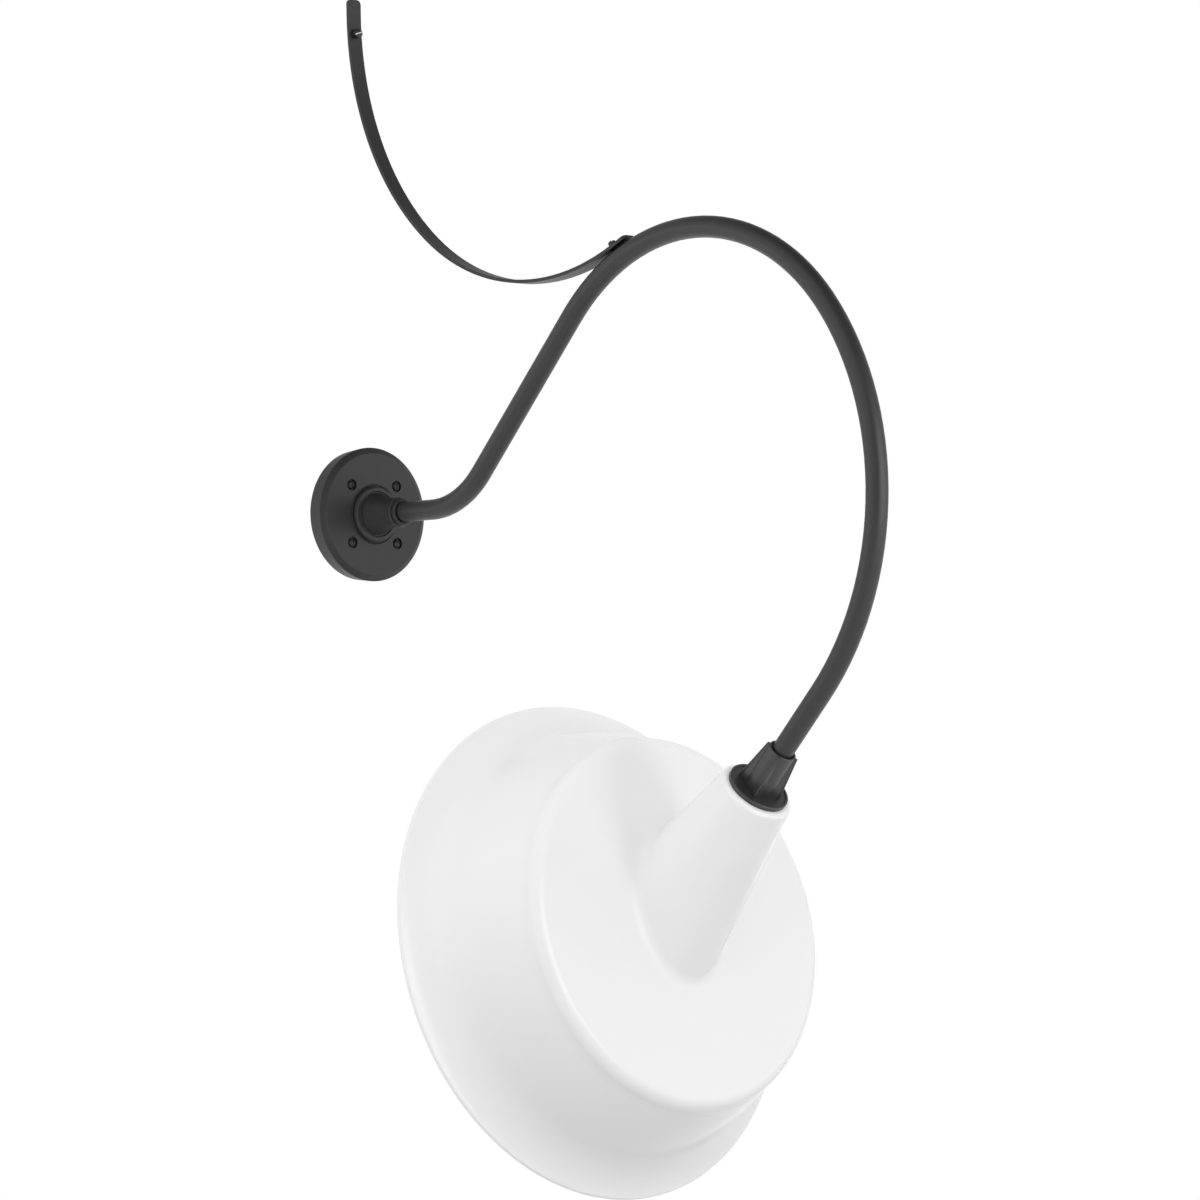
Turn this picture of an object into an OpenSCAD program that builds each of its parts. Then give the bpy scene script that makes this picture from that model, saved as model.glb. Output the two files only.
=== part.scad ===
// Barn light with a bent gooseneck arm, a flat brace strap and an angled spun shade
// Origin: centre of the flange's seat on the wall. +Z is up, the wall is the plane y = 0, the light reaches to -Y

/* [Arm tube] */
// Outside diameter of the arm, half-inch pipe
tube_d = 21.34; // [18:0.01:24]
// Wall of the arm tube
tube_wall = 2.77; // [2:0.01:3.2]
// Reach from the wall to the first bend
root_len = 119; // [100:1:180]
// Centreline radius of the first bend
root_bend_r = 109; // [80:1:140]
// Slope of the climbing stretch
climb_angle = 46.2; // [38:0.1:54]
// Length of the climbing stretch
climb_len = 204; // [160:1:260]
// Centreline radius over the crown
crown_r = 232.5; // [200:0.5:270]
// Angle turned over the crown
crown_turn = 97.2; // [90:0.1:104]
// Centreline radius of the long drop
drop_r = 277.5; // [240:0.5:310]
// Angle turned by the long drop
drop_turn = 82.4; // [76:0.1:88]
// Straight tail from the last bend to the fitter
tail_len = 73.5; // [50:0.5:110]

/* [Wall flange] */
// Widest diameter of the cast flange
flange_d = 142.4; // [136:0.1:160]
// Draft of the flange's side, in radius, from its widest to the wall
flange_draft = 1.8; // [0:0.1:3]
// Distance from the wall to the widest edge
flange_edge_h = 20.2; // [18:0.1:26]
// Distance from the wall to the flat face
flange_face_h = 24.3; // [23:0.1:32]
// Diameter of the flat face
flange_face_d = 129.5; // [122:0.1:132]
// Wall of the hollow casting
flange_wall = 5; // [4:0.1:7]
// Side of the square that the four screws stand on
screw_square = 61; // [56:0.1:66]
// Diameter of the recess round each screw head
screw_recess_d = 12.6; // [11:0.1:14]
// Depth of that recess
screw_recess_h = 2.8; // [1:0.1:3.6]
// Diameter of the screw pillars inside the casting
pillar_d = 14; // [12:0.1:16]
// Diameter over the raised ring round the boss
ring_d = 60; // [54:0.1:62]
// Height of the raised ring over the face
ring_h = 5.2; // [4:0.1:8]
// Rounding of the ring's outer edge
ring_edge_r = 3.4; // [2:0.1:4]
// Width of the groove round the ring's foot
ring_groove = 2.4; // [0.8:0.1:3]
// Diameter of the boss where it leaves the ring
boss_d = 45; // [40:0.1:47]
// Diameter of the boss behind its bead
boss_tip_d = 29.5; // [28:0.1:34]
// Section diameter of the bead near the boss's end
boss_bead = 5.2; // [4:0.1:6]
// Width of the grooves round the boss's foot and before its bead
boss_groove = 3; // [2:0.1:4]
// Middle of the bead below the boss's mouth
boss_bead_drop = 8.5; // [6:0.1:12]
// Distance from the wall to the end of the boss
boss_h = 73.5; // [66:0.5:90]
// How deep the arm is screwed into the boss
arm_grip = 42; // [30:0.5:44]
// Thickness of the foam gasket on the wall
wall_gasket_t = 2; // [1:0.1:4]

/* [Screws] */
// Thread diameter of the flange and strap wall screws, number 10
screw_d = 4.83; // [4:0.01:6]
// The plain shank is thinner than the thread, by this much in radius
shank_step = 0.3; // [0.2:0.05:0.4]
// Head diameter of the flange screws
screw_head_d = 9.4; // [8:0.1:10.5]
// Head height of the flange screws
screw_head_h = 4.3; // [2:0.1:4.6]
// Width of the cross slots in the flange screws
cross_slot_w = 0.9; // [0.6:0.1:1.4]
// How far the flange screws reach into the wall
screw_reach = 28; // [20:0.5:48]
// Head diameter of the strap's wall screw
strap_head_d = 9.8; // [8:0.1:12]
// Straight height of that head
strap_head_h = 5.9; // [3:0.1:7]
// Height of the dome on it
strap_dome_h = 2.2; // [1:0.1:3]
// Turn of its slot from level
strap_slot_turn = 20; // [0:1:90]
// How far the strap's wall screw reaches into the wall
strap_screw_reach = 34; // [20:0.5:56]
// Head diameter of the screw in the arm
arm_head_d = 8.4; // [7:0.1:10]
// Turn of the slots in that head and in the bonding screw's
other_slot_turn = 50; // [10:1:80]
// Thread diameter of the screw in the arm
arm_screw_d = 4.17; // [3.5:0.01:5]
// How far that screw reaches into the tube
arm_screw_reach = 5; // [3.5:0.1:6]
// Width of the screwdriver slots
slot_w = 1.3; // [0.8:0.1:1.8]

/* [Brace strap] */
// Width of the flat bar
strap_w = 17.1; // [14:0.1:20]
// Thickness of the flat bar
strap_t = 3.5; // [3:0.1:5]
// Slope of the arm where the strap is screwed to it
seat_slope = 24.9; // [18:0.1:32]
// Bar beyond that screw
seat_tail = 25; // [18:0.5:35]
// Bend runs this far past the screw
seat_run_out = 14; // [10:0.5:17]
// Angle turned by the upper part of the bow
bow_turn = 52; // [44:0.5:60]
// Radius of the lower part of the bow, as a share of the upper one
bow_ratio = 0.856; // [0.8:0.002:0.92]
// Flat foot above the bow
foot_len = 15.3; // [0:0.1:40]
// Wall screw's distance below the top of the bar
foot_screw_drop = 37; // [20:0.5:45]
// Corner radius of the bar's ends
strap_corner_r = 5; // [2:0.1:7]

/* [Fitter] */
// Height of the fitter above the shade's neck
fitter_h = 50; // [44:0.5:70]
// Depth of the tube socket
fitter_socket_h = 22; // [16:0.5:26]
// Running clearance of the tube in its sockets, in radius
tube_fit = 0.05; // [0.02:0.01:0.08]
// Wall of the socket at the mouth
fitter_mouth_wall = 3.1; // [2.5:0.1:4]
// Width of the open ring round the tube at the mouth
mouth_gap = 1.2; // [0.6:0.1:1.6]
// Depth of that open ring
mouth_gap_h = 3; // [1:0.1:5]
// Diameter of the round core at its foot
fitter_core_d = 30; // [28:0.1:34]
// Distance of the four corners from the axis at the mouth
corner_top_r = 16.3; // [15:0.1:18]
// Distance of the four corners from the axis at the foot
corner_foot_r = 22.6; // [20:0.1:24]
// Width of the ribs down its corners
rib_w = 1.8; // [1.2:0.1:2.6]
// Height of the ribs over the corners they follow
rib_h = 0.6; // [0.3:0.1:1.5]
// Hollow of the four sides at the foot
side_hollow = 2; // [0:0.1:3]
// Turn of the corners away from the diagonals
corner_turn = -7; // [-45:1:45]
// Diameter of the fitter's flange
fitter_flange_d = 61.5; // [56:0.1:64]
// Thickness of that flange
fitter_flange_t = 3; // [2:0.1:5]
// Width of the raised border on it
border_w = 2.4; // [1.5:0.1:4]
// Height of the raised border
border_h = 0.9; // [0.3:0.1:1.5]
// Diameter of the threaded spigot below the flange
spigot_d = 38; // [34:0.1:42]
// Length of the spigot
spigot_h = 13; // [12:0.5:18]
// Web left at the bottom of the spigot
spigot_web = 5; // [4:0.1:7]
// Diameter of the lead space inside the fitter
lead_space_d = 20; // [16:0.1:22]
// Diameter of the set screw
set_screw_d = 5; // [4:0.1:6]

/* [Shade] */
// Diameter over the rim
shade_d = 497; // [440:1:540]
// Height from the rim to the flat top
shade_h = 129.5; // [115:0.5:150]
// Diameter of the drum at the flat top
drum_d = 371.4; // [340:0.2:390]
// Radius of the drum's corner
drum_corner_r = 13; // [8:0.5:20]
// Sheet thickness
shade_wall = 1.6; // [1.2:0.1:2.2]
// Diameter where the skirt turns into the flared rim
flare_d = 426; // [400:1:436]
// Height of the flared rim
flare_h = 37.5; // [28:0.5:44]
// Hollow of the flare, as a share of its height
flare_hollow = 0.55; // [0.4:0.01:0.7]
// Outward crown of the skirt between corner and flare
skirt_crown = 2.2; // [0:0.1:4]
// Section diameter of the rolled bead on the rim
bead_d = 5; // [4:0.1:7]
// Angle between the neck and the shade's own axis
neck_tilt = 32; // [26:0.5:38]
// Length of the neck along its axis, to the flat top
neck_len = 158; // [140:1:180]
// Neck axis meets the flat top this far above its centre
neck_offset = 12.5; // [0:0.5:25]
// Diameter of the neck at its top
neck_top_d = 75.4; // [70:0.2:82]
// Diameter of the neck where it runs into the flat top
neck_root_d = 152; // [130:1:166]
// Radius of the neck's top edge
neck_edge_r = 5; // [3:0.1:6]
// Length of the sweep between neck and flat top, on its open side
sweep_open = 15; // [8:0.5:22]
// Length of that sweep in the narrow side
sweep_narrow = 26; // [12:0.5:34]
// Thickness of the gasket under the fitter
neck_gasket_t = 1; // [0.5:0.1:2]
// Thickness of the nut that clamps the shade
ring_nut_t = 6; // [4:0.1:7]
// Diameter of the nut that clamps the shade
ring_nut_d = 50; // [46:0.5:56]

/* [Lampholder and lamp] */
// Diameter of the threaded nipple that carries the lampholder
nipple_d = 10.3; // [9:0.1:13]
// Bore of the nipple
nipple_bore_d = 7; // [6:0.1:8]
// Length of the nipple
nipple_len = 20; // [18:0.5:26]
// Width across flats of the nipple's nut
nut_flats = 16; // [14:0.5:20]
// Thickness of the nipple's nut
nut_t = 3; // [2:0.1:3.4]
// Diameter of the porcelain lampholder
holder_d = 41; // [38:0.5:46]
// Length of the porcelain lampholder
holder_h = 52; // [50:0.5:60]
// Inside diameter of the screw shell
shell_bore_d = 26.9; // [26.6:0.05:27.4]
// Thickness of the screw shell
shell_t = 0.5; // [0.3:0.1:0.8]
// Diameter of the lamp's screw cap
cap_d = 26.2; // [25.8:0.05:26.4]
// Length of the lamp's screw cap
cap_h = 19; // [17:0.5:22]
// Widest diameter of the lamp
lamp_d = 66.7; // [55:0.1:72]
// Length of the lamp with its cap
lamp_len = 134; // [115:1:150]
// Wall of the lamp's glass
glass_t = 0.9; // [0.6:0.1:1.5]

/* [Leads] */
// Diameter of the sleeve over the two leads
sleeve_d = 6.4; // [5.8:0.1:7]
// Diameter of one insulated lead
lead_d = 2.4; // [2:0.1:2.8]
// Length of each tail in the flange
tail_reach = 26; // [18:0.5:32]
// Bare wire at the end of each tail
bare_len = 8; // [5:0.5:12]

/* [Hidden] */
$fn = 96;

// Gap between pieces that face each other
seat_gap = 0.3;
// Gap of a screw or spigot in its hole, in radius
hole_gap = 0.25;
// Gap between faces that are clamped together
face_gap = 0.02;
// Small overlap that lets a cut run past a face
cut = 1;
// Lap of one stretch of a bent bar in the next, and how much slimmer the lapping one is
lap = 0.5;
lap_step = 0.04;

tube_r = tube_d / 2;
bore_r = tube_r - tube_wall;

// The arm lies in the plane x = 0. A heading of 0 points straight out from the wall, and up is positive
function ahead(h) = [-cos(h), sin(h)];
function above(h) = [sin(h), cos(h)];

arm_start = [-(boss_h - arm_grip), 0];
bend1_in = [-root_len, 0];
bend1_mid = bend1_in + root_bend_r * above(0);
bend1_out = bend1_mid - root_bend_r * above(climb_angle);
crown_in = bend1_out + climb_len * ahead(climb_angle);
crown_mid = crown_in - crown_r * above(climb_angle);
drop_in_angle = climb_angle - crown_turn;
drop_in = crown_mid + crown_r * above(drop_in_angle);
drop_mid = drop_in - drop_r * above(drop_in_angle);
tail_angle = drop_in_angle - drop_turn;
tail_in = drop_mid + drop_r * above(tail_angle);
arm_end = tail_in + tail_len * ahead(tail_angle);
// Turn about X that stands a piece's own Z along the tail, back up the tube
end_tilt = -tail_angle - 90;

// The strap's line runs beside the arm at the seat, then bows up to the wall in two radii
seat_r = crown_r + tube_r + strap_t / 2;
seat = crown_mid + seat_r * above(seat_slope);
bow_end = seat + seat_run_out * ahead(seat_slope);
bow_angle = 90 + seat_slope;
bow_r = (-bow_end[0] - strap_t / 2)
    / (1 - cos(bow_turn) + bow_ratio * (cos(bow_turn) - cos(bow_angle)));
bow_low_r = bow_ratio * bow_r;
bow_top_z = bow_end[1] + bow_r * sin(bow_turn) + bow_low_r * (sin(bow_angle) - sin(bow_turn));
bow_mid = [-strap_t / 2 - bow_r, bow_top_z];
bow_low_mid = bow_mid + (bow_r - bow_low_r) * [cos(bow_turn), -sin(bow_turn)];
strap_top_z = bow_top_z + foot_len;
foot_screw_z = strap_top_z - foot_screw_drop;
// Heading of the bar at the arm's screw, where the bow has already begun
seat_heading = seat_slope - asin(seat_run_out / bow_low_r);
// The bow has already left the wall by this much at the lower edge of the wall screw's head
foot_screw_gap = foot_screw_z < bow_top_z
    ? bow_r - sqrt(pow(bow_r, 2) - pow(bow_top_z - foot_screw_z + strap_head_d / 2, 2)) : 0;

// Heights in the neck's frame, whose zero is the fitter's mouth and whose Z points up the tube
neck_top_z = -fitter_h - neck_gasket_t;
nut_top_z = neck_top_z - shade_wall;
spigot_end_z = -fitter_h - spigot_h;
nipple_top_z = spigot_end_z + spigot_web - cut;
nipple_end_z = nipple_top_z - nipple_len;
holder_top_z = spigot_end_z - nut_t - 2 * seat_gap;
holder_end_z = holder_top_z - holder_h;
holder_r = holder_d / 2;
shell_r = shell_bore_d / 2 + shell_t;
// Porcelain above the screw shell holds the wiring space
wiring_top_z = nipple_end_z;
wiring_end_z = wiring_top_z - 7;
shell_top_z = wiring_end_z - 4;
contact_t = 0.8;
contact_drop = 4;
lamp_top_z = shell_top_z - shell_t - contact_drop - contact_t - seat_gap;
solder_h = 1.6;
insulator_h = 5.4;
cap_top_z = lamp_top_z - solder_h - insulator_h;
cap_end_z = cap_top_z - cap_h;
lamp_end_z = lamp_top_z - lamp_len;
sleeve_end_z = -fitter_socket_h - 6;
bushing_r = bore_r - 0.1;
lead_r = lead_d / 2;
lead_pitch = lead_r + 0.15;

// A smooth line from a to c that is drawn towards b
function curve(a, b, c, steps) =
    [for (i = [0:steps]) let (s = i / steps) (1 - s) * (1 - s) * a + 2 * s * (1 - s) * b + s * s * c];

// Where things stand
module along_arm(p, h) {
    translate([0, p[0], p[1]]) rotate([90 - h, 0, 0]) children();
}
module at_arm_end() {
    translate([0, arm_end[0], arm_end[1]]) rotate([end_tilt, 0, 0]) children();
}
// The shade's own frame: zero at the centre of the flat top, Z out of the top, Y up the leaning neck's side
module at_shade() {
    at_arm_end() translate([0, 0, neck_top_z - neck_len]) rotate([neck_tilt, 0, 0])
        translate([0, -neck_offset, 0]) children();
}
module from_wall() {
    rotate([90, 0, 0]) children();
}
// Sweeps a section round a bend's centre in the plane x = 0
module bend(mid, r, start, turn) {
    translate([0, mid[0], mid[1]]) rotate([90, 0, 90]) rotate([0, 0, start])
        rotate_extrude(angle = turn) translate([r, 0]) children();
}

module rod(r, h) {
    cylinder(r = r, h = h);
}
module pipe(r, bore, h) {
    difference() {
        rod(r, h);
        translate([0, 0, -cut]) rod(bore, h + 2 * cut);
    }
}
// The arm's centreline from start to end, as a round bar. Every second stretch laps into its neighbours
module arm_bar(r, start, extra) {
    turn = lap / drop_r * 180 / PI;
    along_arm(start, 0) rod(r - lap_step, norm(bend1_in - start) + lap);
    bend(bend1_mid, root_bend_r, -90 - climb_angle, climb_angle) circle(r);
    along_arm(bend1_out - lap * ahead(climb_angle), climb_angle) rod(r - lap_step, climb_len + 2 * lap);
    bend(crown_mid, crown_r, 90 - climb_angle, crown_turn) circle(r);
    bend(drop_mid, drop_r, 90 - drop_in_angle - turn, drop_turn + 2 * turn) circle(r - lap_step);
    along_arm(tail_in, tail_angle) rod(r, tail_len + extra);
}
// A domed head of the given width and height, flat side at z = 0
module dome(d, h) {
    intersection() {
        translate([0, 0, h - ball_r(d, h)]) sphere(r = ball_r(d, h));
        rod(d, h + cut);
    }
}
function ball_r(d, h) = (pow(d / 2, 2) + h * h) / (2 * h);
// A head with a straight side, a domed top and a slot right across
module slotted_head(d, side_h, dome_h) {
    ball = ball_r(d, dome_h);
    difference() {
        intersection() {
            translate([0, 0, side_h + dome_h - ball]) sphere(r = ball);
            rod(d / 2, side_h + dome_h + cut);
        }
        translate([-d, -slot_w / 2, side_h - slot_w / 4]) cube([2 * d, slot_w, 2 * dome_h + cut]);
    }
}
// The plain shank ends at the wall and the thread goes on into it
module wall_shank(through, reach) {
    translate([0, 0, -through]) rod(screw_d / 2 - shank_step, through);
    translate([0, 0, -through - reach]) rod(screw_d / 2, reach);
}
module flange_screw() {
    slot_len = screw_head_d * 0.56;
    difference() {
        dome(screw_head_d, screw_head_h);
        for (turn = [0, 90])
            rotate([0, 0, turn]) translate([-slot_len / 2, -cross_slot_w / 2, screw_head_h * 0.55])
                cube([slot_len, cross_slot_w, screw_head_h]);
    }
    wall_shank(recess_z, screw_reach);
}
module at_flange_screws() {
    for (x = [-1, 1], z = [-1, 1])
        translate([x * screw_square / 2, z * screw_square / 2, 0]) children();
}

flange_r = flange_d / 2;
cavity_r = flange_r - flange_draft - 2 * flange_wall;
cavity_h = flange_face_h - flange_wall;
recess_z = flange_face_h - screw_recess_h;
boss_foot_z = flange_face_h + ring_h;
boss_bead_z = boss_h - boss_bead_drop;
boss_end_r = tube_r + fitter_mouth_wall - 0.5;
shank_hole_r = screw_d / 2 + hole_gap;
ground_y = 2 - (cavity_r + ring_d / 2) / 2;
ground_boss_h = 5;
ground_screw_d = 4;
ground_head_h = 2.4;

module flange_section() {
    difference() {
        union() {
            polygon([
                [0, wall_gasket_t],
                [flange_r - flange_draft, wall_gasket_t],
                [flange_r, flange_edge_h],
                [flange_r - 0.4, flange_edge_h + 0.7],
                [flange_face_d / 2 + 0.9, flange_face_h - 0.3],
                [flange_face_d / 2, flange_face_h],
                [0, flange_face_h]
            ]);
            translate([0, flange_face_h - cut]) {
                square([ring_d / 2, ring_h - ring_edge_r + cut]);
                square([ring_d / 2 - ring_edge_r, ring_h + cut]);
            }
            translate([ring_d / 2 - ring_edge_r, boss_foot_z - ring_edge_r]) circle(ring_edge_r);
            boss_section();
        }
        translate([-cut, wall_gasket_t - cut]) square([cavity_r + cut, cavity_h - wall_gasket_t + cut]);
        translate([0, boss_h - arm_grip - seat_gap]) square([tube_r + tube_fit, arm_grip + cut]);
        translate([0, boss_h - mouth_gap_h]) square([tube_r + mouth_gap, mouth_gap_h + cut]);
        square([bore_r + 1.6, boss_h]);
        translate([ring_d / 2 + ring_groove * 0.3, flange_face_h]) circle(d = ring_groove);
        translate([boss_d / 2 + boss_groove * 0.2, boss_foot_z]) circle(d = boss_groove);
        translate([boss_tip_d / 2 + boss_groove * 0.25, boss_bead_z - boss_bead * 0.8]) circle(d = boss_groove);
        translate([-flange_r, 0]) square([flange_r, boss_h + cut]);
    }
}
// The boss narrows in a hollow curve to a bead and a small lip round its mouth
module boss_section() {
    steps = 10;
    start_r = boss_d / 2;
    end_r = boss_tip_d / 2;
    polygon(concat(
        [[0, boss_foot_z - cut], [start_r, boss_foot_z - cut]],
        [for (i = [0:steps]) let (s = i / steps)
            [end_r + (start_r - end_r) * pow(1 - s, 1.7), boss_foot_z + (boss_bead_z - boss_foot_z) * s]],
        [[boss_end_r, boss_bead_z], [boss_end_r, boss_h - 0.6], [boss_end_r - 0.6, boss_h], [0, boss_h]]));
    translate([boss_tip_d / 2 - boss_bead * 0.27, boss_bead_z]) circle(d = boss_bead);
    translate([boss_end_r - 0.3, boss_h - 2]) circle(r = 1.5);
}

module wall_flange() {
    color([0.22, 0.22, 0.23]) from_wall() difference() {
        union() {
            rotate_extrude() flange_section();
            intersection() {
                at_flange_screws() translate([0, 0, wall_gasket_t]) rod(pillar_d / 2, cavity_h);
                rod(flange_r - flange_draft - flange_wall, cavity_h + cut);
            }
            translate([0, ground_y, cavity_h - ground_boss_h]) rod(pillar_d / 2, ground_boss_h + cut);
        }
        at_flange_screws() rod(shank_hole_r, flange_face_h + cut);
        at_flange_screws() translate([0, 0, recess_z]) rod(screw_recess_d / 2, screw_recess_h + cut);
        translate([0, ground_y, cavity_h - ground_boss_h - cut])
            rod(ground_screw_d / 2 + hole_gap, ground_boss_h + 2 * cut);
    }
}

module wall_gasket() {
    color([0.12, 0.12, 0.12]) from_wall()
        pipe(flange_r - flange_draft - 1.5, cavity_r, wall_gasket_t);
}

module flange_screws() {
    color([0.25, 0.25, 0.26]) from_wall() at_flange_screws() translate([0, 0, recess_z]) flange_screw();
}

module ground_screw() {
    color([0.2, 0.5, 0.25]) from_wall() translate([0, ground_y, cavity_h - ground_boss_h]) {
        rotate([180, 0, other_slot_turn]) slotted_head(2 * ground_screw_d, ground_head_h / 2, ground_head_h / 2);
        rod(ground_screw_d / 2, ground_boss_h - cut);
    }
}

module gooseneck_arm() {
    color([0.24, 0.24, 0.25]) difference() {
        arm_bar(tube_r, arm_start, fitter_socket_h);
        arm_bar(bore_r, arm_start + [cut, 0], fitter_socket_h + cut);
        at_seat() translate([0, 0, -tube_r]) rod(arm_screw_d / 2 + 0.05, 2 * tube_r);
    }
}

// The seat's frame: zero on the strap's hollow upper face, Z square to it
module at_seat() {
    top = bow_low_mid - (bow_low_r - strap_t / 2) * above(seat_heading);
    translate([0, top[0], top[1]]) rotate([-seat_heading, 0, 0]) children();
}

// A flat bar's end with rounded corners, length along Y from zero
module bar_end(len, slimmer) {
    r = strap_corner_r;
    half = (strap_w - slimmer) / 2;
    translate([-half, -slimmer / lap_step * lap]) square([2 * half, len - r + slimmer / lap_step * lap]);
    translate([r - half, 0]) square([2 * half - 2 * r, len]);
    for (x = [-1, 1]) translate([x * (half - r), len - r]) circle(r);
}

module strap_section(slimmer) {
    square([strap_t - slimmer, strap_w - slimmer], center = true);
}

module brace_strap() {
    tail = seat_tail - seat_run_out;
    turn = lap / bow_r * 180 / PI;
    slim_t = strap_t - lap_step;
    color([0.22, 0.22, 0.23]) difference() {
        union() {
            translate([0, -strap_t, bow_top_z]) rotate([90, 0, 180]) linear_extrude(strap_t) bar_end(foot_len, 0);
            bend(bow_mid, bow_r, -bow_turn - turn, bow_turn + 2 * turn) strap_section(lap_step);
            bend(bow_low_mid, bow_low_r, -bow_angle, bow_angle - bow_turn) strap_section(0);
            along_arm(bow_end, seat_slope) rotate([90, 0, 0]) translate([0, 0, -slim_t / 2])
                linear_extrude(slim_t) bar_end(tail, lap_step);
        }
        at_seat() translate([0, 0, -strap_t - cut]) rod(arm_screw_d / 2 + hole_gap, strap_t + 2 * cut);
        translate([0, cut, foot_screw_z]) from_wall() rod(shank_hole_r, strap_t + foot_screw_gap + 2 * cut);
    }
}

module strap_wall_screw() {
    through = strap_t + foot_screw_gap;
    color([0.3, 0.3, 0.31]) translate([0, -through, foot_screw_z]) from_wall() {
        rotate([0, 0, strap_slot_turn]) slotted_head(strap_head_d, strap_head_h, strap_dome_h);
        wall_shank(through, strap_screw_reach);
    }
}

module strap_arm_screw() {
    // The head's flat underside bridges the hollow of the bar
    lift = pow(arm_head_d / 2, 2) / (2 * bow_low_r) + face_gap;
    len = strap_t + tube_wall + arm_screw_reach;
    color([0.3, 0.3, 0.31]) at_seat() translate([0, 0, lift]) {
        rotate([0, 0, other_slot_turn]) slotted_head(arm_head_d, strap_head_h, strap_dome_h);
        translate([0, 0, -len]) rod(arm_screw_d / 2, len);
    }
}

module lead_sleeve() {
    color([0.75, 0.72, 0.62]) arm_bar(sleeve_d / 2, arm_start + [cut * 4, 0], -sleeve_end_z);
}

// Plastic bushings keep the sleeve off the tube's two cut ends
module lead_bushings() {
    color([0.1, 0.1, 0.1]) {
        along_arm(arm_start + [seat_gap, 0], 0) bushing();
        along_arm(arm_end + (fitter_socket_h + seat_gap) * ahead(tail_angle), tail_angle) rotate([180, 0, 0]) bushing();
    }
}
module bushing() {
    difference() {
        union() {
            translate([0, 0, -1.2]) rod(bore_r + 1.2, 1.2);
            rod(bushing_r, 9);
        }
        translate([0, 0, -1.2 - cut]) rod(sleeve_d / 2 + 0.1, 9 + 1.2 + 2 * cut);
    }
}

// A tail leaves the sleeve, turns into the casting's hollow and ends in bare wire
module tail(side) {
    r = 7;
    start = boss_h - arm_grip - 4 * cut;
    from_wall() rotate([0, 0, side]) {
        translate([lead_pitch, 0, start - 12]) rod(lead_r, 12);
        translate([lead_pitch + r, 0, start - 12]) rotate([-90, 0, 0]) rotate([0, 0, 90]) rotate_extrude(angle = 90)
            translate([r, 0]) circle(lead_r);
        translate([lead_pitch + r, 0, start - 12 - r]) rotate([0, 90, 0]) rod(lead_r, tail_reach);
        translate([lead_pitch + r + tail_reach, 0, start - 12 - r]) rotate([0, 90, 0]) rod(lead_r * 0.5, bare_len);
    }
}
module line_tail() {
    color([0.1, 0.1, 0.1]) tail(0);
}
module neutral_tail() {
    color([0.9, 0.9, 0.88]) tail(180);
}
module ground_tail() {
    z = cavity_h - ground_boss_h - ground_head_h - lead_r;
    color([0.2, 0.5, 0.25]) from_wall() {
        translate([0, ground_y, z]) rotate([0, 90, 0]) rod(lead_r, tail_reach * 0.8);
        translate([tail_reach * 0.8, ground_y, z]) rotate([0, 90, 0]) rod(lead_r * 0.5, bare_len * 0.6);
    }
}

fitter_mouth_r = tube_r + fitter_mouth_wall;
fitter_foot_z = -fitter_h + fitter_flange_t;
module fitter_section() {
    polygon([
        [0, 0], [fitter_mouth_r - 0.4, 0], [fitter_mouth_r, -0.4], [fitter_core_d / 2, fitter_foot_z],
        [fitter_flange_d / 2 - border_w - 0.5, fitter_foot_z],
        [fitter_flange_d / 2 - border_w, fitter_foot_z + border_h],
        [fitter_flange_d / 2 - 0.5, fitter_foot_z + border_h],
        [fitter_flange_d / 2, fitter_foot_z + border_h - 0.5],
        [fitter_flange_d / 2, -fitter_h], [spigot_d / 2, -fitter_h],
        [spigot_d / 2, spigot_end_z + 1], [spigot_d / 2 - 1, spigot_end_z], [0, spigot_end_z]
    ]);
}

// The fitter's body in plan at its foot: hollow sides between four corners, each with its rib
module body_plan() {
    corners = [for (k = [0:3]) (corner_foot_r - rib_h) * [cos(90 * k), sin(90 * k)]];
    polygon([for (k = [0:3])
        let (a = corners[k], b = corners[(k + 1) % 4], mid = (a + b) / 2)
            each [for (i = [0:7]) curve(a, mid * (1 - 2 * side_hollow / norm(mid)), b, 8)[i]]]);
    for (k = [0:3]) rotate(90 * k) {
        translate([0, -rib_w / 2]) square([corner_foot_r - rib_w / 2, rib_w]);
        translate([corner_foot_r - rib_w / 2, 0]) circle(d = rib_w);
    }
}
// The plan drawn out between two heights, to the given corner distance at each
module body_stub(low_z, low_r, high_z, high_r) {
    translate([0, 0, low_z]) rotate([0, 0, 45 + corner_turn]) linear_extrude(high_z - low_z, scale = high_r / low_r)
        scale(low_r / corner_foot_r) body_plan();
}

module fitter() {
    color([0.25, 0.25, 0.26]) at_arm_end() difference() {
        union() {
            rotate_extrude() fitter_section();
            body_stub(fitter_foot_z - face_gap, corner_foot_r, -0.5, corner_top_r);
        }
        translate([0, 0, -fitter_socket_h - seat_gap]) rod(tube_r + tube_fit, fitter_socket_h + seat_gap + cut);
        translate([0, 0, -mouth_gap_h]) rod(tube_r + mouth_gap, mouth_gap_h + cut);
        translate([0, 0, spigot_end_z + spigot_web])
            rod(lead_space_d / 2, -fitter_socket_h - spigot_end_z - spigot_web);
        translate([0, 0, spigot_end_z - cut]) rod(nipple_d / 2 + 0.05, spigot_web + 2 * cut);
        set_screw_place() rod(set_screw_d / 2 + 0.05, 2 * corner_foot_r);
    }
}
module set_screw_place() {
    translate([0, 0, -fitter_socket_h * 0.55]) rotate([-90, 0, 0]) children();
}
module fitter_set_screw() {
    color([0.15, 0.15, 0.15]) at_arm_end() set_screw_place() translate([0, 0, tube_r + 0.3]) difference() {
        rod(set_screw_d / 2, fitter_mouth_wall);
        translate([0, 0, fitter_mouth_wall * 0.45]) cylinder(r = set_screw_d * 0.27, h = fitter_mouth_wall, $fn = 6);
    }
}

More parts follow.
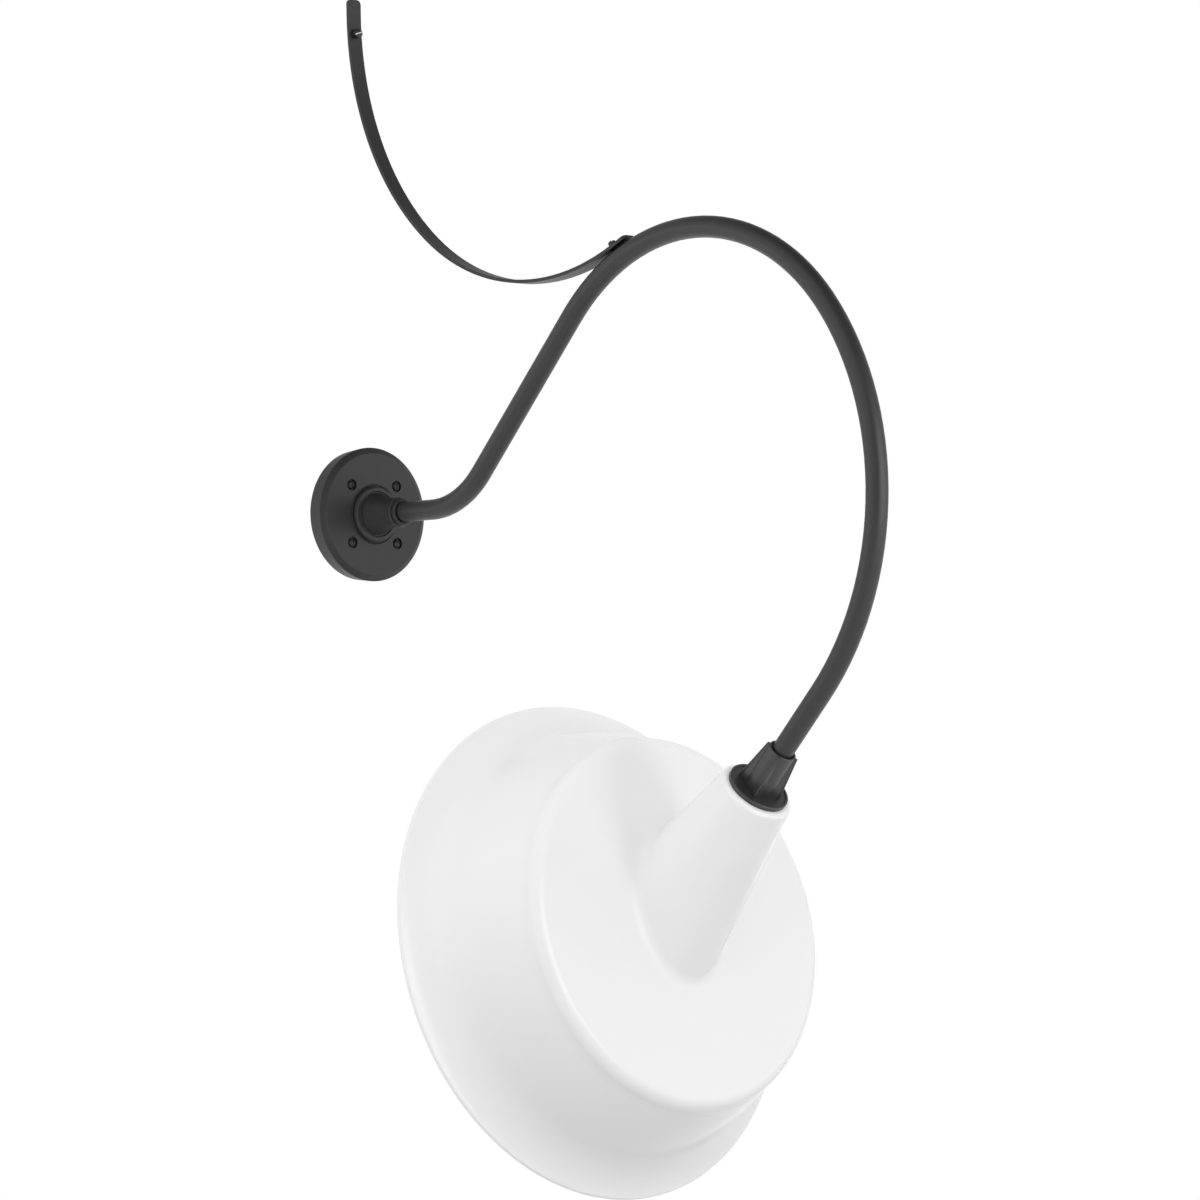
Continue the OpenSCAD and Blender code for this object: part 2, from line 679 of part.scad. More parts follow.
module neck_gasket() {
    color([0.1, 0.1, 0.1]) at_arm_end() translate([0, 0, neck_top_z + face_gap])
        pipe(fitter_flange_d / 2 - 0.6, spigot_d / 2 + hole_gap, neck_gasket_t - 2 * face_gap);
}

// Points of the shade's outer line in (radius, height), from the rim to the flat top
rim_r = shade_d / 2 - bead_d / 2;
drum_r = drum_d / 2;
skirt_top = [drum_r, -drum_corner_r];
skirt_foot = [flare_d / 2, -shade_h + flare_h];
skirt_dir = (skirt_foot - skirt_top) / norm(skirt_foot - skirt_top);
flare_turn = skirt_foot + skirt_dir * flare_h * flare_hollow;
flare_foot = [rim_r, -shade_h + bead_d / 2];
skirt_mid = (skirt_top + skirt_foot) / 2 + 2 * skirt_crown * [-skirt_dir[1], skirt_dir[0]];
shade_line = concat(
    curve(flare_foot, flare_turn, skirt_foot, 10),
    [for (p = curve(skirt_foot, skirt_mid, skirt_top, 6)) if (p != skirt_foot) p],
    [for (a = [10:10:90]) [drum_r - drum_corner_r + drum_corner_r * cos(a), -drum_corner_r + drum_corner_r * sin(a)]],
    [[0, 0]]);
// The same line moved inwards by the sheet's thickness
function line_side(i) = let (
    a = shade_line[max(i - 1, 0)], b = shade_line[min(i + 1, len(shade_line) - 1)], t = (b - a) / norm(b - a))
    [-t[1], t[0]];
shade_inner = [for (i = [0:len(shade_line) - 1]) let (q = shade_line[i] + shade_wall * line_side(i)) [max(q[0], 0), q[1]]];

// The neck is a loft from the round top edge, square to the neck, to a round root in the flat top
loft_sides = 60;
half_facet = 180 / loft_sides;
sweep_steps = 7;
edge_steps = 4;
neck_dir = [0, sin(neck_tilt), cos(neck_tilt)];
neck_up = [0, cos(neck_tilt), -sin(neck_tilt)];
neck_root = [0, neck_offset, 0];
neck_head = neck_root + neck_len * neck_dir;
sheet_step = 0.05;
loft_r = neck_root_d / 2 + sweep_narrow + 6;

function head_ring(r, drop) = [for (i = [0:loft_sides - 1]) let (a = i * 360 / loft_sides)
    neck_head - drop * neck_dir + r * (cos(a) * [1, 0, 0] + sin(a) * neck_up)];
function root_point(a, in) = neck_root + (neck_root_d / 2 - in) * [cos(a), sin(a), 0] - [0, 0, in + sheet_step];
function head_point(a, in) =
    neck_head - neck_edge_r * neck_dir + (neck_top_d / 2 - in) * (cos(a) * [1, 0, 0] + sin(a) * neck_up);
function sweep_len(a) = sweep_open + (sweep_narrow - sweep_open) * (1 + sin(a)) / 2;
function sweep_point(a, s, in) = let (
    corner = root_point(a, in),
    rise = head_point(a, in) - corner,
    up = corner + sweep_len(a) * rise / norm(rise),
    out = corner + sweep_len(a) * [cos(a), sin(a), 0])
    (1 - s) * (1 - s) * up + 2 * s * (1 - s) * corner + s * s * out;
function sweep_ring(s, in) = [for (i = [0:loft_sides - 1]) sweep_point(i * 360 / loft_sides, s, in)];
function edge_rings(in) = [for (k = [0:edge_steps]) let (a = 90 - 90 * k / edge_steps, r = neck_edge_r - in)
    head_ring(neck_top_d / 2 - neck_edge_r + r * cos(a), neck_edge_r - r * sin(a))];
function end_ring(in) = [for (i = [0:loft_sides - 1]) let (a = i * 360 / loft_sides)
    neck_root + [loft_r * cos(a), loft_r * sin(a), -in - sheet_step]];
function skin(in) = concat(edge_rings(in), [for (k = [0:sweep_steps]) sweep_ring(k / sweep_steps, in)], [end_ring(in)]);
function reversed(rings) = [for (i = [len(rings) - 1:-1:0]) rings[i]];

module neck_loft() {
    rings = concat(skin(0), reversed(skin(shade_wall - 2 * sheet_step)));
    n = loft_sides;
    points = [for (ring = rings) each ring];
    bands = [for (k = [0:len(rings) - 2], i = [0:n - 1]) let (j = (i + 1) % n)
        each [[k * n + i, k * n + j, (k + 1) * n + j], [k * n + i, (k + 1) * n + j, (k + 1) * n + i]]];
    first = [for (i = [n - 1:-1:0]) i];
    last = [for (i = [0:n - 1]) (len(rings) - 1) * n + i];
    polyhedron(points = points, faces = concat([first], bands, [last]));
}

module shade() {
    color([0.93, 0.93, 0.92]) at_shade() {
        difference() {
            union() {
                difference() {
                    rotate_extrude($fn = 180) {
                        polygon(concat(shade_line, reversed(shade_inner)));
                        translate([rim_r, -shade_h + bead_d / 2]) circle(d = bead_d, $fn = 24);
                    }
                    translate(neck_root - [0, 0, shade_wall + cut]) rod(loft_r - 4, shade_wall + 2 * cut);
                }
                neck_loft();
            }
            translate(neck_head) rotate([-neck_tilt, 0, 0]) rotate([0, 0, half_facet])
                translate([0, 0, -shade_wall - cut]) rod(spigot_d / 2 + hole_gap, shade_wall + 2 * cut);
        }
    }
}

module shade_ring_nut() {
    color([0.7, 0.7, 0.68]) at_arm_end() translate([0, 0, nut_top_z - ring_nut_t - seat_gap]) difference() {
        pipe(ring_nut_d / 2, spigot_d / 2 + 0.05, ring_nut_t);
        for (a = [0:60:300])
            rotate([0, 0, a]) translate([ring_nut_d / 2 - 1.6, -2, -cut]) cube([4, 4, ring_nut_t + 2 * cut]);
    }
}

module holder_nipple() {
    color([0.75, 0.62, 0.35]) at_arm_end() translate([0, 0, nipple_end_z])
        pipe(nipple_d / 2, nipple_bore_d / 2, nipple_len);
}

module nipple_nut() {
    color([0.75, 0.62, 0.35]) at_arm_end() translate([0, 0, spigot_end_z - seat_gap - nut_t]) difference() {
        cylinder(d = nut_flats / cos(30), h = nut_t, $fn = 6);
        translate([0, 0, -cut]) rod(nipple_d / 2 + 0.05, nut_t + 2 * cut);
    }
}

module lampholder() {
    color([0.95, 0.94, 0.9]) at_arm_end() difference() {
        rotate_extrude() polygon([
            [0, holder_top_z], [holder_r - 6, holder_top_z], [holder_r - 2.4, holder_top_z - 2],
            [holder_r - 0.6, holder_top_z - 7], [holder_r - 1.6, holder_top_z - 18],
            [holder_r - 1.6, holder_end_z + 8], [holder_r, holder_end_z + 6],
            [holder_r, holder_end_z + 1], [holder_r - 1, holder_end_z], [0, holder_end_z]
        ]);
        translate([0, 0, nipple_end_z - cut]) rod(nipple_d / 2 + 0.05, nipple_len);
        translate([0, 0, wiring_end_z]) rod(holder_r - 7, wiring_top_z - wiring_end_z);
        translate([0, 0, holder_end_z - cut]) rod(shell_r + 0.1, shell_top_z - holder_end_z + cut);
        translate([0, 0, shell_top_z - cut]) rod(2, 4 * cut + wiring_end_z - shell_top_z);
    }
}

module screw_shell() {
    color([0.8, 0.66, 0.36]) at_arm_end() translate([0, 0, holder_end_z + 2]) difference() {
        rod(shell_r, shell_top_z - holder_end_z - 2);
        translate([0, 0, -cut]) rod(shell_bore_d / 2, shell_top_z - holder_end_z - 2 - shell_t + cut);
        translate([0, 0, shell_top_z - holder_end_z - 2 - shell_t - cut]) rod(7.5, shell_t + 2 * cut);
    }
}

// A springy brass leaf, held by a rivet through the porcelain
module centre_contact() {
    color([0.85, 0.7, 0.4]) at_arm_end() {
        translate([0, 0, shell_top_z - contact_t]) rod(5, contact_t);
        translate([0, 0, shell_top_z - contact_t]) rod(1.9, wiring_end_z - shell_top_z + contact_t + 0.6);
        translate([-4.2, -3, shell_top_z - contact_drop - shell_t - contact_t]) cube([contact_t, 6, contact_drop + shell_t]);
        translate([-4.2, -3, shell_top_z - contact_drop - shell_t - contact_t]) cube([8, 6, contact_t]);
    }
}

module holder_lead(side) {
    at_arm_end() translate([side * lead_pitch, 0, wiring_end_z + 1.5])
        rod(lead_r, sleeve_end_z - seat_gap - wiring_end_z - 1.5);
}
module holder_line_lead() {
    color([0.1, 0.1, 0.1]) holder_lead(1);
}
module holder_neutral_lead() {
    color([0.9, 0.9, 0.88]) holder_lead(-1);
}

module lamp_contact() {
    color([0.7, 0.7, 0.7]) at_arm_end() translate([0, 0, lamp_top_z - solder_h]) dome(9, solder_h);
}
module lamp_insulator() {
    color([0.08, 0.08, 0.1]) at_arm_end() translate([0, 0, cap_top_z + seat_gap])
        cylinder(r1 = cap_d / 2 - 1.2, r2 = 5.5, h = insulator_h - seat_gap);
}
module lamp_cap() {
    color([0.78, 0.76, 0.7]) at_arm_end() translate([0, 0, cap_end_z]) difference() {
        rod(cap_d / 2, cap_h);
        translate([0, 0, -cut]) rod(cap_d / 2 - 0.5, cap_h - 0.5 + cut);
    }
}
lamp_r = lamp_d / 2;
glass_neck_r = cap_d / 2 - 0.8;
glass_mid_z = lamp_end_z + lamp_r;
glass_join = 40;
function glass_line(in) = concat(
    [[glass_neck_r - in, cap_top_z - 6]],
    curve([glass_neck_r - in, cap_end_z - 3],
        [glass_neck_r - in, glass_mid_z + lamp_r * sin(glass_join) + (lamp_r * cos(glass_join) - glass_neck_r) / tan(glass_join)],
        [(lamp_r - in) * cos(glass_join), glass_mid_z + (lamp_r - in) * sin(glass_join)], 10),
    [for (a = [glass_join - 10:-10:-90]) [(lamp_r - in) * cos(a), glass_mid_z + (lamp_r - in) * sin(a)]]);
module lamp_glass() {
    color([0.96, 0.96, 0.94, 0.7]) at_arm_end()
        rotate_extrude() polygon(concat(glass_line(0), reversed(glass_line(glass_t))));
}

wall_gasket();
wall_flange();
flange_screws();
ground_screw();
gooseneck_arm();
brace_strap();
strap_wall_screw();
strap_arm_screw();
lead_sleeve();
lead_bushings();
line_tail();
neutral_tail();
ground_tail();
fitter();
fitter_set_screw();
neck_gasket();
shade();
shade_ring_nut();
holder_nipple();
nipple_nut();
lampholder();
screw_shell();
centre_contact();
holder_line_lead();
holder_neutral_lead();
lamp_contact();
lamp_insulator();
lamp_cap();
lamp_glass();
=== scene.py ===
import math
import bmesh
import bpy
from mathutils import Matrix, Vector


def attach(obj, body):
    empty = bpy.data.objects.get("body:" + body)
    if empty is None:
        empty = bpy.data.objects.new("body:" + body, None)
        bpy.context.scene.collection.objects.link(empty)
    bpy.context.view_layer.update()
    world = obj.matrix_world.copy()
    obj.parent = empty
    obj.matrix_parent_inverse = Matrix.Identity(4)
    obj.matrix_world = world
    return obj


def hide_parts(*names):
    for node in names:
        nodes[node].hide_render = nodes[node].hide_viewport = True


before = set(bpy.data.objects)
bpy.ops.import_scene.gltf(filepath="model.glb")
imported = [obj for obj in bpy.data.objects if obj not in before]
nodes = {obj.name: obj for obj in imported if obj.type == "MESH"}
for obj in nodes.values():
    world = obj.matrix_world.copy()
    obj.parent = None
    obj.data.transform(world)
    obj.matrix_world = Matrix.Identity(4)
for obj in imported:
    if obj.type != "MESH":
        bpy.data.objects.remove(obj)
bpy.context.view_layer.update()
print("frame loaded:", len(nodes), "nodes")

mm = 0.001


# Camera, solved from the photograph's tube, flange, strap and rim

cameraSettings = {
    "place": (-2.41959, -2.98309, -0.20878),
    "azimuth": -42.840,  # this and the next two in degrees
    "elevation": -1.704,
    "roll": -1.005,
    "lens": 107.81,
    "sensor": 36.0,
    "near": 0.05,
    "far": 40.0,
}


def makeCamera(s):
    az, el, roll = (math.radians(s[k]) for k in ("azimuth", "elevation", "roll"))
    back = Vector((math.sin(az) * math.cos(el), -math.cos(az) * math.cos(el), math.sin(el)))
    right = Vector((math.cos(az), math.sin(az), 0))
    up = back.cross(right)
    turnedRight = right * math.cos(roll) + up * math.sin(roll)
    turnedUp = up * math.cos(roll) - right * math.sin(roll)
    data = bpy.data.cameras.new("camera")
    data.lens = s["lens"]
    data.sensor_width = s["sensor"]
    data.clip_start = s["near"]
    data.clip_end = s["far"]
    cam = bpy.data.objects.new("camera", data)
    turn = Matrix((turnedRight, turnedUp, back)).transposed()
    cam.matrix_world = Matrix.Translation(s["place"]) @ turn.to_4x4()
    bpy.context.scene.collection.objects.link(cam)
    bpy.context.scene.camera = cam


makeCamera(cameraSettings)
print("camera set")


# Node helpers

def newMaterial(name):
    mat = bpy.data.materials.new(name)
    mat.use_nodes = True
    tree = mat.node_tree
    shader = tree.nodes["Principled BSDF"]
    coords = tree.nodes.new("ShaderNodeTexCoord")
    return mat, tree, shader, coords


def addNode(tree, kind, inputs=None, **props):
    node = tree.nodes.new(kind)
    for k, v in props.items():
        setattr(node, k, v)
    setInputs(node, inputs or {})
    return node


def setInputs(node, values):
    for k, v in values.items():
        node.inputs[k].default_value = v


def newGroup(name, ins, outs):
    group = bpy.data.node_groups.new(name, "ShaderNodeTree")
    for way, sockets in (("INPUT", ins), ("OUTPUT", outs)):
        for label, kind in sockets.items():
            group.interface.new_socket(label, in_out=way, socket_type="NodeSocket" + kind)
    return group, group.nodes.new("NodeGroupInput"), group.nodes.new("NodeGroupOutput")


# Fine orange peel and a slow drift in tone, shared by every finish in the list below

grainSettings = {
    "fineDetail": 3.0,
    "fineRough": 0.55,
    "driftDetail": 2.0,
    "driftRough": 0.5,
    "spread": (0.3, 0.7),  # the part of the noise that moves the gloss
    "peel": 0.2 * mm,  # height of the orange peel
    "ins": {"Vector": "Vector", "Scale": "Float", "Depth": "Float", "Drift Scale": "Float",
            "Color A": "Color", "Color B": "Color", "Rough Low": "Float", "Rough High": "Float"},
    "outs": {"Color": "Color", "Roughness": "Float", "Normal": "Vector"},
}


def makeGrainGroup(s):
    group, start, end = newGroup("surfaceGrain", s["ins"], s["outs"])
    link = group.links.new
    fine = addNode(group, "ShaderNodeTexNoise", {"Detail": s["fineDetail"], "Roughness": s["fineRough"]})
    drift = addNode(group, "ShaderNodeTexNoise", {"Detail": s["driftDetail"], "Roughness": s["driftRough"]})
    mixed = addNode(group, "ShaderNodeMix", data_type="RGBA")
    rough = addNode(group, "ShaderNodeMapRange", {"From Min": s["spread"][0], "From Max": s["spread"][1]})
    bump = addNode(group, "ShaderNodeBump", {"Distance": s["peel"]})
    link(start.outputs["Vector"], fine.inputs["Vector"])
    link(start.outputs["Scale"], fine.inputs["Scale"])
    link(start.outputs["Vector"], drift.inputs["Vector"])
    link(start.outputs["Drift Scale"], drift.inputs["Scale"])
    link(drift.outputs["Fac"], mixed.inputs["Factor"])
    link(start.outputs["Color A"], mixed.inputs["A"])
    link(start.outputs["Color B"], mixed.inputs["B"])
    link(fine.outputs["Fac"], rough.inputs["Value"])
    link(start.outputs["Rough Low"], rough.inputs["To Min"])
    link(start.outputs["Rough High"], rough.inputs["To Max"])
    link(fine.outputs["Fac"], bump.inputs["Height"])
    link(start.outputs["Depth"], bump.inputs["Strength"])
    link(mixed.outputs["Result"], end.inputs["Color"])
    link(rough.outputs["Result"], end.inputs["Roughness"])
    link(bump.outputs["Normal"], end.inputs["Normal"])
    return group


grainGroup = makeGrainGroup(grainSettings)

# What a finish has where it says nothing else
plainFinish = {"driftScale": 14.0, "metallic": 0.0, "coat": 0.0, "coatRough": 0.05, "specular": 0.5}


def grainyMaterial(name, finish):
    s = {**plainFinish, **finish}
    mat, tree, shader, coords = newMaterial(name)
    grain = addNode(tree, "ShaderNodeGroup", node_tree=grainGroup)
    setInputs(grain, {
        "Scale": s["scale"],
        "Depth": s["depth"],
        "Drift Scale": s["driftScale"],
        "Color A": (*s["dark"], 1),
        "Color B": (*s["light"], 1),
        "Rough Low": s["rough"][0],
        "Rough High": s["rough"][1],
    })
    tree.links.new(coords.outputs["Object"], grain.inputs["Vector"])
    tree.links.new(grain.outputs["Color"], shader.inputs["Base Color"])
    tree.links.new(grain.outputs["Roughness"], shader.inputs["Roughness"])
    tree.links.new(grain.outputs["Normal"], shader.inputs["Normal"])
    setInputs(shader, {
        "Metallic": s["metallic"],
        "Coat Weight": s["coat"],
        "Coat Roughness": s["coatRough"],
        "Specular IOR Level": s["specular"],
    })
    return mat


finishes = {
    "satinBlack": {"scale": 1500.0, "depth": 0.16, "rough": (0.36, 0.46),
                   "dark": (0.013, 0.013, 0.0135), "light": (0.018, 0.018, 0.019)},
    "strapBlack": {"scale": 1500.0, "depth": 0.16, "rough": (0.40, 0.50), "specular": 0.42,
                   "dark": (0.012, 0.012, 0.0125), "light": (0.017, 0.017, 0.018)},
    # painted light: the fitter's black is lighter than the arm's, to offset the shade that falls on its lower
    # part under the neck and flange
    "fitterBlackLifted": {"scale": 1100.0, "depth": 0.2, "rough": (0.34, 0.44), "specular": 0.6,
                    "dark": (0.020, 0.020, 0.0205), "light": (0.028, 0.028, 0.029)},
    "flangeBlack": {"scale": 700.0, "depth": 0.3, "rough": (0.42, 0.55), "specular": 0.42,
                    "dark": (0.011, 0.011, 0.0115), "light": (0.017, 0.017, 0.018)},
    "screwBlack": {"scale": 2200.0, "depth": 0.15, "rough": (0.35, 0.5),
                   "dark": (0.010, 0.010, 0.0105), "light": (0.017, 0.017, 0.018)},
    "glossWhite": {"scale": 260.0, "depth": 0.05, "driftScale": 5.0, "rough": (0.20, 0.27), "specular": 0.3,
                   "coat": 0.06, "coatRough": 0.1, "dark": (0.84, 0.84, 0.84), "light": (0.87, 0.87, 0.87)},
    # bare steel kept near white so that it also stands in for the glint in the screw slot: partly a painted
    # highlight
    "bareSteelGlint": {"scale": 1800.0, "depth": 0.2, "rough": (0.25, 0.4), "metallic": 1.0,
                  "dark": (0.74, 0.74, 0.73), "light": (0.88, 0.88, 0.86)},
    "zincPlate": {"scale": 900.0, "depth": 0.2, "rough": (0.3, 0.45), "metallic": 1.0,
                  "dark": (0.48, 0.49, 0.50), "light": (0.64, 0.64, 0.62)},
    "greenScrew": {"scale": 1500.0, "depth": 0.15, "rough": (0.3, 0.45),
                   "dark": (0.03, 0.16, 0.06), "light": (0.05, 0.22, 0.08)},
    "lampBrass": {"scale": 1100.0, "depth": 0.15, "rough": (0.22, 0.38), "metallic": 1.0,
                  "dark": (0.62, 0.44, 0.20), "light": (0.78, 0.60, 0.30)},
    "porcelain": {"scale": 300.0, "depth": 0.08, "driftScale": 40.0, "rough": (0.08, 0.14), "coat": 0.6,
                  "dark": (0.76, 0.75, 0.71), "light": (0.84, 0.83, 0.79)},
    "blackRubber": {"scale": 1600.0, "depth": 0.5, "rough": (0.7, 0.85),
                    "dark": (0.018, 0.018, 0.018), "light": (0.03, 0.03, 0.03)},
    "blackLead": {"scale": 900.0, "depth": 0.12, "rough": (0.35, 0.5),
                  "dark": (0.012, 0.012, 0.012), "light": (0.022, 0.022, 0.022)},
    "whiteLead": {"scale": 900.0, "depth": 0.12, "rough": (0.35, 0.5),
                  "dark": (0.70, 0.70, 0.68), "light": (0.80, 0.80, 0.78)},
    "greenLead": {"scale": 900.0, "depth": 0.12, "rough": (0.35, 0.5),
                  "dark": (0.02, 0.17, 0.05), "light": (0.03, 0.23, 0.08)},
    "capMetal": {"scale": 800.0, "depth": 0.15, "rough": (0.25, 0.4), "metallic": 1.0,
                 "dark": (0.58, 0.57, 0.54), "light": (0.72, 0.71, 0.67)},
    "solder": {"scale": 500.0, "depth": 0.4, "rough": (0.3, 0.5), "metallic": 1.0,
               "dark": (0.42, 0.42, 0.42), "light": (0.56, 0.56, 0.56)},
    "blackGlass": {"scale": 400.0, "depth": 0.05, "rough": (0.05, 0.1),
                   "dark": (0.010, 0.010, 0.014), "light": (0.018, 0.018, 0.022)},
}
mats = {name: grainyMaterial(name, finish) for name, finish in finishes.items()}


# Braided glass-fibre sleeve: two crossing waves make the plait

sleeveSettings = {
    "turns": (0.9, -0.9),  # one for each wave, in radians
    "waves": 150.0,
    "wobble": 0.4,
    "depth": 0.5,
    "strand": 0.4 * mm,
    "rough": 0.85,
    "dark": (0.34, 0.31, 0.22, 1),
    "light": (0.62, 0.58, 0.46, 1),
}


def sleeveMaterial(name, s):
    mat, tree, shader, coords = newMaterial(name)
    link = tree.links.new
    waves = []
    for turn in s["turns"]:
        place = addNode(tree, "ShaderNodeMapping", {"Rotation": (turn, 0.0, turn)})
        wave = addNode(tree, "ShaderNodeTexWave", {"Scale": s["waves"], "Distortion": s["wobble"]})
        link(coords.outputs["Object"], place.inputs["Vector"])
        link(place.outputs["Vector"], wave.inputs["Vector"])
        waves.append(wave)
    both = addNode(tree, "ShaderNodeMath", operation="MAXIMUM")
    link(waves[0].outputs["Fac"], both.inputs[0])
    link(waves[1].outputs["Fac"], both.inputs[1])
    mixed = addNode(tree, "ShaderNodeMix", {"A": s["dark"], "B": s["light"]}, data_type="RGBA")
    bump = addNode(tree, "ShaderNodeBump", {"Strength": s["depth"], "Distance": s["strand"]})
    link(both.outputs["Value"], mixed.inputs["Factor"])
    link(both.outputs["Value"], bump.inputs["Height"])
    link(mixed.outputs["Result"], shader.inputs["Base Color"])
    link(bump.outputs["Normal"], shader.inputs["Normal"])
    setInputs(shader, {"Roughness": s["rough"]})
    return mat


# Soft white coated lamp glass

lampGlassSettings = {
    "clear": (0.93, 0.93, 0.91, 1),
    "milky": (0.86, 0.86, 0.83, 1),
    "cloud": 120.0,
    "cloudDetail": 4.0,
    "rough": (0.25, 0.4),
    "through": 0.35,
    "index": 1.5,
}


def lampGlassMaterial(name, s):
    mat, tree, shader, coords = newMaterial(name)
    noise = addNode(tree, "ShaderNodeTexNoise", {"Scale": s["cloud"], "Detail": s["cloudDetail"]})
    mixed = addNode(tree, "ShaderNodeMix", {"A": s["clear"], "B": s["milky"]}, data_type="RGBA")
    rough = addNode(tree, "ShaderNodeMapRange", {"To Min": s["rough"][0], "To Max": s["rough"][1]})
    tree.links.new(coords.outputs["Object"], noise.inputs["Vector"])
    tree.links.new(noise.outputs["Fac"], mixed.inputs["Factor"])
    tree.links.new(noise.outputs["Fac"], rough.inputs["Value"])
    tree.links.new(mixed.outputs["Result"], shader.inputs["Base Color"])
    tree.links.new(rough.outputs["Result"], shader.inputs["Roughness"])
    setInputs(shader, {"Transmission Weight": s["through"], "IOR": s["index"]})
    return mat


mats["braidedSleeve"] = sleeveMaterial("braidedSleeve", sleeveSettings)
mats["softWhiteGlass"] = lampGlassMaterial("softWhiteGlass", lampGlassSettings)
print("materials made:", len(mats))

nodeFinish = {
    "wall_gasket": "blackRubber",
    "wall_flange": "flangeBlack",
    "flange_screws": "screwBlack",
    "ground_screw": "greenScrew",
    "gooseneck_arm": "satinBlack",
    "brace_strap": "strapBlack",
    "strap_wall_screw": "screwBlack",
    "strap_arm_screw": "screwBlack",
    "lead_sleeve": "braidedSleeve",
    "lead_bushings": "blackRubber",
    "line_tail": "blackLead",
    "neutral_tail": "whiteLead",
    "ground_tail": "greenLead",
    "fitter": "fitterBlackLifted",
    "fitter_set_screw": "screwBlack",
    "neck_gasket": "blackRubber",
    "shade": "glossWhite",
    "shade_ring_nut": "zincPlate",
    "holder_nipple": "lampBrass",
    "nipple_nut": "lampBrass",
    "lampholder": "porcelain",
    "screw_shell": "lampBrass",
    "centre_contact": "lampBrass",
    "holder_line_lead": "blackLead",
    "holder_neutral_lead": "whiteLead",
    "lamp_contact": "solder",
    "lamp_insulator": "blackGlass",
    "lamp_cap": "capMetal",
    "lamp_glass": "softWhiteGlass",
}
for nodeName, finish in nodeFinish.items():
    slots = nodes[nodeName].data.materials
    if len(slots) == 0:
        slots.append(mats[finish])
    for i in range(len(slots)):
        slots[i] = mats[finish]
print("finishes put on:", len(nodeFinish), "nodes")


# The frame on the arm's end has its z axis up along the arm. The shade's own has it out of the middle of the
# flat top, so the heights below the top are negative

armSettings = {"end": (0, -0.62283, -0.252517), "tilt": math.radians(43.4)}
neckFrame = Matrix.Translation(armSettings["end"]) @ Matrix.Rotation(armSettings["tilt"], 4, "X")

shadeSettings = {
    "neckTop": -51 * mm, "neckLength": 158 * mm, "neckTilt": math.radians(32), "neckOffset": 12.5 * mm,
    "topRadius": 37.7 * mm, "holeRadius": 19.25 * mm, "edgeRadius": 5 * mm, "edgeSteps": 6,
    "rootWide": 52 * mm, "rootTall": 73 * mm, "loftRadius": 108 * mm,  # the neck's foot on the flat top
    "sweepOpen": 8 * mm, "sweepNarrow": 18 * mm, "sweepSteps": 14,  # longer where the neck leans over
    "height": 129.5 * mm, "drumRadius": 185.7 * mm, "crown": 2.2 * mm, "skirtSteps": 10,
    "cornerRadius": 13 * mm, "cornerSteps": 12,
    "flareRadius": 213 * mm, "flareHeight": 37.5 * mm, "flareHollow": 0.72, "flareSteps": 16,
    "rimRadius": 245.93 * mm, "beadRadius": 2.5 * mm, "beadRise": 0.87, "beadTurns": range(60, 301, 20),
    "sheet": 1.6 * mm, "sides": 240, "weld": 1e-7, "sharp": 40.0,
}
shadeFrame = (neckFrame @ Matrix.Translation((0, 0, shadeSettings["neckTop"] - shadeSettings["neckLength"]))
              @ Matrix.Rotation(shadeSettings["neckTilt"], 4, "X")
              @ Matrix.Translation((0, -shadeSettings["neckOffset"], 0)))


# A curve from a to c that is drawn towards b
def softCurve(a, b, c, steps):
    out = []
    for i in range(steps + 1):
        t = i / steps
        out.append(a * (1 - t) ** 2 + b * 2 * t * (1 - t) + c * t ** 2)
    return out


# The drum's outer line in (radius, height), from the rim's bead to the flat top
def drumLine(s):
    corner = Vector((s["drumRadius"], -s["cornerRadius"]))
    foot = Vector((s["flareRadius"], s["flareHeight"] - s["height"]))
    along = (foot - corner).normalized()
    bead = Vector((s["rimRadius"], s["beadRadius"] - s["height"]))
    flare = softCurve(bead, foot + along * s["flareHeight"] * s["flareHollow"], foot, s["flareSteps"])
    middle = (corner + foot) / 2 + Vector((-along.y, along.x)) * 2 * s["crown"]
    skirt = softCurve(foot, middle, corner, s["skirtSteps"])[1:]
    turn = []
    for i in range(1, s["cornerSteps"] + 1):
        a = math.radians(90 * i / s["cornerSteps"])
        radius = s["drumRadius"] - s["cornerRadius"] * (1 - math.cos(a))
        turn.append(Vector((radius, -s["cornerRadius"] * (1 - math.sin(a)))))
    return flare + skirt + turn


# The same line moved in by the thickness of the sheet
def insideLine(line, thick):
    out = []
    for i, p in enumerate(line):
        along = (line[min(i + 1, len(line) - 1)] - line[max(i - 1, 0)]).normalized()
        out.append(p + Vector((-along.y, along.x)) * thick)
    return out


def finishMesh(bm, name, finish, body, sharp):
    mesh = bpy.data.meshes.new(name)
    bmesh.ops.recalc_face_normals(bm, faces=bm.faces)
    bm.to_mesh(mesh)
    bm.free()
    mesh.materials.append(mats[finish])
    mesh.polygons.foreach_set("use_smooth", [True] * len(mesh.polygons))
    mesh.set_sharp_from_angle(angle=math.radians(sharp))
    obj = bpy.data.objects.new(name, mesh)
    bpy.context.scene.collection.objects.link(obj)
    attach(obj, body)
    return obj


# A closed skin of rings. Each ring is drawn out of the last and put in its place by angle, and the last one
# meets the first
def ringSkin(bm, sides, places, weld):
    turn = bm.verts.layers.float.new("turn")
    ring = bmesh.ops.create_circle(bm, segments=sides, radius=1.0)["verts"]
    for v in ring:
        v[turn] = math.atan2(v.co.y, v.co.x)
        v.co = places[0](v[turn])
    edges = list(bm.edges)
    for place in places[1:] + places[:1]:
        made = bmesh.ops.extrude_edge_only(bm, edges=edges)["geom"]
        ring = {g for g in made if isinstance(g, bmesh.types.BMVert)}
        for v in ring:
            v.co = place(v[turn])
        edges = [g for g in made if isinstance(g, bmesh.types.BMEdge) and all(v in ring for v in g.verts)]
    bmesh.ops.remove_doubles(bm, verts=bm.verts, dist=weld)


